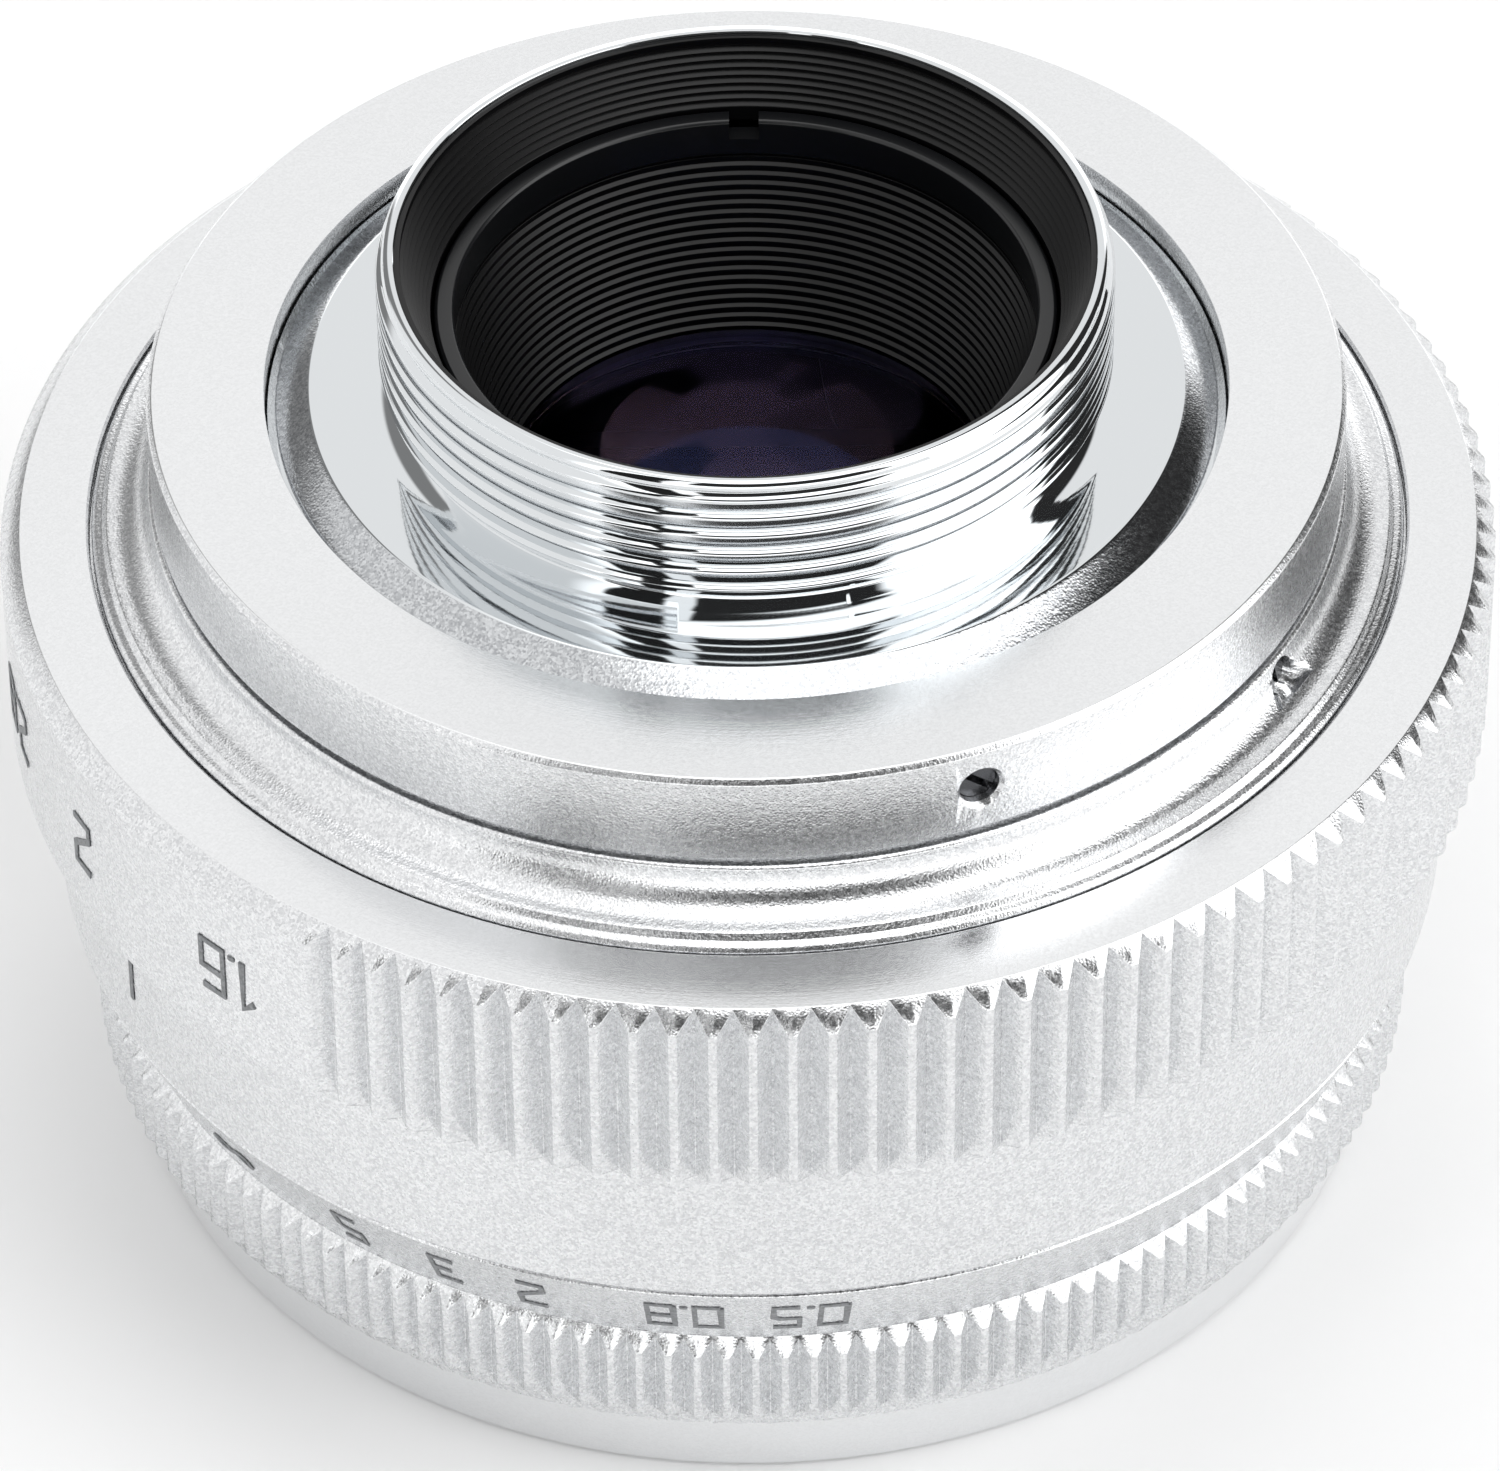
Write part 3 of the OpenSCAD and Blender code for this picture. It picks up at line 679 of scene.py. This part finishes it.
focus = gripped_ring(
    "focus_ring_gripped",
    [
        ((20.5, 0.15), (20.5, 0.15)), ((20.65, 0), (20.65, 0)), ((22.25, 0), (22.25, 0)),
        ((22.5, 0.25), (22.5, 0.25)), ((23.33, 3.15), (23.3, 3.06)),
        ((23.38, 3.5), (23.3, 3.3)), ((23.8, 3.9), (23.3, 3.6)),
        ((23.8, 6.8), (23.3, 7.2)), ((23.25, 7.35), (23.25, 7.35)),
        ((24.75, 10.75), (24.75, 10.75)), ((24.65, 10.85), (24.65, 10.85)),
        ((23, 10.85), (23, 10.85)), ((23, 8), (23, 8)), ((22.25, 8), (22.25, 8)),
        ((22.25, 5.6), (22.25, 5.6)), ((20.5, 5.6), (20.5, 5.6)),
    ],
    148, 0, 148, 0.23, 23.8, 0.02,
)
give(focus, blasted_aluminium, faced_aluminium)
paint(focus, 1, lambda r, z, n, c: z < 3.1 or (n.z < -0.9))
fit(focus, "focus_ring", "satin_aluminium", "focus_ring")

# ------------------------------------------------------------------ engraved scales

# Strokes of each figure on a grid one wide and two tall
FIGURES = {
    "0": [[(0, 0), (1, 0), (1, 2), (0, 2), (0, 0)]],
    "1": [[(0.1, 1.6), (0.55, 2), (0.55, 0)]],
    "2": [[(0, 2), (1, 2), (1, 1.25), (0, 0.55), (0, 0), (1, 0)]],
    "3": [[(0, 2), (1, 2), (1, 0), (0, 0)], [(0.25, 1.05), (1, 1.05)]],
    "4": [[(0.72, 0), (0.72, 2), (0, 0.6), (1.05, 0.6)]],
    "5": [[(1, 2), (0, 2), (0, 1.15), (0.75, 1.15), (1, 0.95), (1, 0), (0, 0)]],
    "6": [[(0.95, 2), (0, 2), (0, 0), (1, 0), (1, 1.15), (0, 1.15)]],
    "8": [[(0, 0), (1, 0), (1, 2), (0, 2), (0, 0)], [(0, 1.05), (1, 1.05)]],
    ".": [[(0, 0), (0, 0.16)]],
    "o": [
        [
            (1 + sin(radians(a)), 0.95 + 0.45 * sin(radians(2 * a)))
            for a in range(0, 361, 15)
        ]
    ],
    "|": [[(0, -0.2), (0, 1.5)]],
}
WIDTH = {".": 0.0, "1": 0.62, "|": 0.0, "o": 2.0}


def figure(name, key, size_mm, stroke_mm):
    """One engraved figure, drawn as bent strokes, upright in the XZ plane."""
    parts = []
    for stroke in FIGURES[key]:
        part = start(name)
        draw([(x * size_mm / 2, z * size_mm / 2) for x, z in stroke], closed=False)
        bpy.ops.object.mode_set(mode="OBJECT")
        bpy.ops.object.convert(target="CURVE")
        part = bpy.context.object
        part.data.bevel_depth = stroke_mm / 2 * MM
        part.data.bevel_resolution = 1
        part.data.use_fill_caps = True
        bpy.ops.object.convert(target="MESH")
        part = bpy.context.object
        part.data.transform(Matrix.Diagonal((1, 0.2, 1, 1)))
        parts.append(part)
    bpy.ops.object.select_all(action="DESELECT")
    for part in parts:
        part.select_set(True)
    bpy.context.view_layer.objects.active = parts[0]
    if len(parts) > 1:
        bpy.ops.object.join()
    return parts[0]


def engrave(name, marks, size_mm, stroke_mm, radius, z, slope, body):
    """The figures of a scale, each set square on the wall. marks gives the text and its
    place in degrees to the left of the front; the figures' tops point to the front rim.
    slope is the wall's lean, in radians."""
    made = []
    models = {}
    for text, left in marks:
        widths = [WIDTH.get(key, 1.0) * size_mm / 2 for key in text]
        gap = size_mm * 0.2
        total = sum(widths) + gap * (len(text) - 1)
        run = -total / 2
        for key, width in zip(text, widths):
            if key not in models:
                models[key] = figure(name, key, size_mm, stroke_mm)
            copy = models[key].copy()
            copy.data = models[key].data.copy()
            bpy.context.collection.objects.link(copy)
            phi = radians(-90 - left) - (run + width / 2) / (radius * MM) * MM
            out = Vector((cos(phi), sin(phi), 0))
            tall = Vector((-sin(slope) * cos(phi), -sin(slope) * sin(phi), -cos(slope)))
            across = Vector((sin(phi), -cos(phi), 0))
            deep = tall.cross(across)
            place = Matrix((across, deep, tall)).transposed().to_4x4()
            base = Matrix.Translation(
                out * radius * MM + Vector((0, 0, z * MM)) - tall * size_mm / 2 * MM
                - across * width / 2 * MM
            )
            copy.data.transform(base @ place)
            made.append(copy)
            run += width + gap
    for model in models.values():
        bpy.data.objects.remove(model)
    bpy.ops.object.select_all(action="DESELECT")
    for copy in made:
        copy.select_set(True)
    bpy.context.view_layer.objects.active = made[0]
    bpy.ops.object.join()
    piece = made[0]
    piece.name = piece.data.name = name
    bpy.ops.object.mode_set(mode="EDIT")
    finish_mesh(piece, 50)
    give(piece, enamel)
    return fit(piece, body, None)


engrave(
    "aperture_scale",
    [
        ("1.6", 42.4), ("2", 60.9), ("2.8", 76.5), ("4", 91), ("5.6", 105), ("8", 118),
        ("11", 129), ("16", 139),
    ],
    2.1, 0.32, 26.225, 20.9, 0, "aperture_ring",
)
BAND_LEAN = atan2(1.5, 3.4)
engrave(
    "focus_scale",
    [("o", 49.0), ("5", 35.6), ("3", 26.3), ("2", 18.6), ("0.8", 5.8), ("0.5", -4.5)],
    1.8, 0.29, 24.0, 9.0, BAND_LEAN, "focus_ring",
)
engrave("index_mark", [("|", 60.5)], 2.1, 0.3, 24.825, 13.6, 0, "barrel")

# ------------------------------------------------------------------ rear bore

RIBS = 8
funnel = [(10.85, 33.6), (12.06, 33.6), (12.06, 36.48), (11.85, 36.48)]
rib_step, rib_lean = (36.48 - 0.25 - 34.2) / RIBS, 1.0 / RIBS
for i in range(RIBS):
    funnel += [
        (11.85 - i * rib_lean, 36.23 - i * rib_step),
        (11.97 - i * rib_lean, 36.23 - (i + 0.6) * rib_step),
    ]
funnel += [(10.85, 34.2)]
baffle = lathe("rear_baffle_ribbed", funnel, steps=240, ease=0.025)
give(baffle, black_anodised)
fit(baffle, "barrel", "black_anodised", "rear_baffle")

trap_outline = [(10.3, 26.05), (10.3, 31.4), (10.12, 31.45), (10.12, 32.6)]
trap_step, trap_lean = 6.55 / 18, (10.02 - 8.5) / 18
for i in range(17, -1, -1):
    trap_outline += [
        (8.5 + (i + 1) * trap_lean, 26.05 + (i + 1) * trap_step),
        (8.65 + i * trap_lean, 26.05 + (i + 0.25) * trap_step),
    ]
trap_outline += [(8.5, 26.05)]
trap = lathe("rear_light_trap_ribbed", trap_outline, steps=240, ease=0.02)
give(trap, black_anodised)
fit(trap, "optical_block", "black_anodised", "rear_light_trap")


def slot_tool(azimuth, r0, r1, z0, z1, width):
    bpy.ops.object.select_all(action="DESELECT")
    bpy.ops.mesh.primitive_cube_add(size=1)
    tool = bpy.context.object
    tool.data.transform(
        Matrix.Rotation(radians(azimuth), 4, "Z")
        @ Matrix.Translation(((r0 + r1) / 2 * MM, 0, (z0 + z1) / 2 * MM))
        @ Matrix.Diagonal(((r1 - r0) * MM, width * MM, (z1 - z0) * MM, 1))
    )
    return tool


ring = lathe(
    "rear_retaining_ring_slotted",
    [
        (10.04, 32.7), (10.04, 34.05), (10.14, 34.15), (10.63, 34.15), (10.73, 34.05),
        (10.73, 33.25), (10.6, 33.2), (10.35, 33.2), (10.35, 31.5), (10.16, 31.5),
        (10.16, 32.6),
    ],
    steps=240,
    ease=0.04,
)
cut(ring, [slot_tool(a, 9.5, 11, 33.35, 35, 1.05) for a in (90, 270)])
give(ring, black_satin)
fit(ring, "optical_block", "black_anodised", "rear_retaining_ring")

# ------------------------------------------------------------------ lens elements


def lens_element(name, node, glass, r_edge, r_clear, z0, z1, sag0, sag1):
    """A polished element: spherical faces on a ground edge. Sags are positive where a face
    bulges outwards; z0 and z1 are the heights of its flat rims."""

    def face(z, sag, way):
        ball = (r_clear**2 + sag**2) / (2 * abs(sag))
        reach = asin(r_clear / ball)
        points = []
        for i in range(17):
            a = reach * (1 - i / 16)
            rise = (ball * cos(a) - ball * cos(reach)) * (1 if sag > 0 else -1) * way
            points.append((ball * sin(a), z + rise))
        return points

    piece = start(name)
    outline = list(reversed(face(z0, sag0, -1)))
    outline += [(r_edge, z0), (r_edge, z1)] + face(z1, sag1, 1)
    draw(outline, closed=False)
    bpy.ops.mesh.select_all(action="SELECT")
    spin(2 * pi, 160)
    finish_mesh(piece, 20)
    give(piece, glass, black_satin)
    # the ground edge is blackened so that it throws no stray light
    paint(piece, 1, lambda r, z, n, c: abs(n.z) < 0.2 and r > r_edge - 0.05)
    return fit(piece, "optical_block", "coated_glass", node)


lens_element("rear_element_lens", "rear_element", blue_glass, 9, 8.4, 25.1, 26, 0.6, 2.1)
lens_element("doublet_rear_lens", "doublet_rear_element", red_glass, 9, 8.2, 22.1, 22.6, 0.88, 1.6)
lens_element("doublet_front_lens", "doublet_front_element", red_glass, 9, 8.2, 18.35, 22.1, -1.8, -0.9)
lens_element("third_lens", "third_element", blue_glass, 10.35, 9.4, 12.75, 14.3, 0.9, -1.6)
lens_element("second_lens", "second_element", red_glass, 11.15, 10.4, 11.4, 12, 1.9, -1.1)
lens_element("front_lens", "front_element", blue_glass, 11.95, 11.2, 7, 8.4, 2.6, -0.2)

# ------------------------------------------------------------------ front end

FILTER_PITCH = 0.75
filter_outline = [(18.4, 0.2), (20.25, 0.2), (20.4, 0.35), (20.4, 4.4), (18.6, 4.4), (18.6, 3.1)]
for i in range(3, -1, -1):
    low = 0.3 + i * 0.7
    filter_outline += [(18.5, low + 0.4), (18.12, low + 0.1)]
filter_outline = [p for p in filter_outline if p[1] > 0.19]
filter_rim = lathe("filter_ring_threaded", filter_outline, steps=300, ease=0.03)
give(filter_rim, black_satin)
fit(filter_rim, "optical_block", "black_anodised", "filter_ring")

name_outline = [(12.5, 4.35), (16.6, 3.75), (17.9, 3.75), (17.9, 3.23), (17.87, 3.2), (17.2, 3.2)]
cone_steps = 6
for i in range(cone_steps):
    r = 17.0 - i * (17.0 - 12.3) / cone_steps
    z = 3.2 + (17.2 - r) * 0.9 / 5.1
    name_outline += [(r, z), (r - 0.3, z + 0.04)]
name_outline += [(12.1, 4.1)]
name_face = lathe("name_ring_plain", name_outline, steps=240, ease=0.02)
give(name_face, black_satin)
fit(name_face, "optical_block", "black_anodised", "name_ring")

front_ring = lathe(
    "front_retaining_ring_slotted",
    [(11.3, 6.95), (11.3, 6.2), (11.6, 5.5), (12.75, 5.5), (12.75, 6.95)],
    steps=240,
    ease=0.05,
)
cut(front_ring, [slot_tool(a, 11, 13, 5, 6, 1.0) for a in (90, 270)])
give(front_ring, black_satin)
fit(front_ring, "optical_block", "black_anodised", "front_retaining_ring")

cell = lathe(
    "front_cell_stepped",
    [
        (12.8, 4.4), (14.15, 4.4), (14.15, 14.8), (9.6, 14.8), (9.6, 14.35), (10.4, 14.35),
        (10.4, 12.7), (11.2, 12.7), (11.2, 9.9), (12, 9.9), (12, 6.95), (12.8, 6.95),
    ],
    steps=200,
    ease=0.06,
)
give(cell, black_anodised)
fit(cell, "optical_block", "black_anodised", "front_cell")

# ------------------------------------------------------------------ kept parts

FINISHES = {
    "mount_set_screws": black_oxide, "collar_set_screws": black_oxide,
    "guide_key": spring_steel, "aperture_drive_pin": brass, "helicoid_sleeve": brass,
    "helicoid_screws": black_oxide, "inner_barrel": black_satin,
    "focus_circlip": spring_steel, "front_spacer": black_anodised,
    "second_spacer": black_anodised, "iris_plate": black_anodised,
    "iris_drive_ring": spring_steel, "rear_cell": black_anodised,
    "rear_cell_screws": black_oxide, "rear_spacer": black_anodised,
}
for i in range(1, 9):
    FINISHES[f"iris_blade_{i}"] = blade_steel
for node, finish in FINISHES.items():
    for material_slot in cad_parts[node].material_slots:
        material_slot.material = finish

# ------------------------------------------------------------------ camera

EYE_UP, EYE_DISTANCE, ROLL = radians(39.298), 312.58 * MM, radians(-0.551)
target = Vector((0, 0, 36.6 * MM))
back = Vector((0, -cos(EYE_UP), sin(EYE_UP)))
up0 = Vector((0, sin(EYE_UP), cos(EYE_UP)))
side = Vector((1, 0, 0)) * cos(ROLL) + up0 * sin(ROLL)
up = up0 * cos(ROLL) - Vector((1, 0, 0)) * sin(ROLL)
lens = bpy.data.cameras.new("view")
lens.lens, lens.sensor_width = 218.95, 36.0
lens.shift_x, lens.shift_y = 0.0033, -0.3251
lens.clip_start, lens.clip_end = 0.02, 10.0
camera = bpy.data.objects.new("view", lens)
camera.matrix_world = Matrix.Translation(target + back * EYE_DISTANCE) @ Matrix(
    (side, up, back)
).transposed().to_4x4()
bpy.context.collection.objects.link(camera)
bpy.context.scene.camera = camera

# ------------------------------------------------------------------ stage and light

bpy.ops.object.select_all(action="DESELECT")
bpy.ops.mesh.primitive_plane_add(size=6)
floor = bpy.context.object
floor.name = "pale_floor"
paper, _ = new_material("studio_paper", Base_Color=srgb("F7F7F7"), Roughness=0.9)
give(floor, paper)

world = bpy.data.worlds.new("studio")
bpy.context.scene.world = world
world.use_nodes = True
tree = world.node_tree
tree.nodes.clear()
surround = add(world, "ShaderNodeTexCoord")
split = add(world, "ShaderNodeSeparateXYZ", {0: surround.outputs["Generated"]})
front_to_back = add(world, "ShaderNodeMath", {0: split.outputs["Y"]}, operation="MULTIPLY")
front_to_back.inputs[1].default_value = -1
turn = add(
    world,
    "ShaderNodeMath",
    {0: split.outputs["X"], 1: front_to_back.outputs[0]},
    operation="ARCTAN2",
)
rise = add(world, "ShaderNodeMath", {0: split.outputs["Z"]}, operation="ARCSINE")
light = None
# Cards and soft boxes round the set: degrees to the right of the front, degrees up, half
# width, half height, softness, brightness
CARDS = [
    (0, 90, 180, 22, 8, 2.2),
    (-92, 18, 38, 60, 10, 1.0),
    (180, 40, 60, 16, 14, 0.98),
    (82, 40, 22, 30, 8, 2.4),
    (8, 40, 33, 17, 5, 0.03),
    (10, 76, 34, 8, 3, 2.2),
    (-33, 34, 8, 32, 2, 0.02),
    (-21, 38, 3, 16, 2, 1.4),
    (122, 26, 17, 48, 4, 0.03),
    (-140, 20, 9, 30, 6, 0.25),
]
colour = None
for across, upward, half_wide, half_tall, soft, strength in CARDS:
    masks = []
    for source, middle, half in ((turn, across, half_wide), (rise, upward, half_tall)):
        off = add(world, "ShaderNodeMath", {0: source.outputs[0]}, operation="SUBTRACT")
        off.inputs[1].default_value = radians(middle)
        if source is turn:
            off = add(world, "ShaderNodeMath", {0: off.outputs[0]}, operation="WRAP")
            off.inputs[1].default_value = pi
            off.inputs[2].default_value = -pi
        size = add(world, "ShaderNodeMath", {0: off.outputs[0]}, operation="ABSOLUTE")
        masks.append(
            add(
                world,
                "ShaderNodeMapRange",
                {"Value": size.outputs[0]},
                interpolation_type="SMOOTHSTEP",
                From_Min=radians(half),
                From_Max=radians(half + soft),
                To_Min=1.0,
                To_Max=0.0,
            )
        )
    both = add(
        world, "ShaderNodeMath", {0: masks[0].outputs[0], 1: masks[1].outputs[0]},
        operation="MULTIPLY",
    )
    mixed = add(world, "ShaderNodeMix", {0: both.outputs[0]}, data_type="FLOAT")
    mixed.inputs[2].default_value = 1.9
    if colour:
        tree.links.new(colour, mixed.inputs[2])
    mixed.inputs[3].default_value = strength
    colour = mixed.outputs[0]
glow = add(world, "ShaderNodeBackground", {"Strength": colour})
add(world, "ShaderNodeOutputWorld", {"Surface": glow.outputs[0]})
glow.inputs["Color"].default_value = srgb("FFFFFF")

bpy.context.scene.view_settings.view_transform = "Standard"
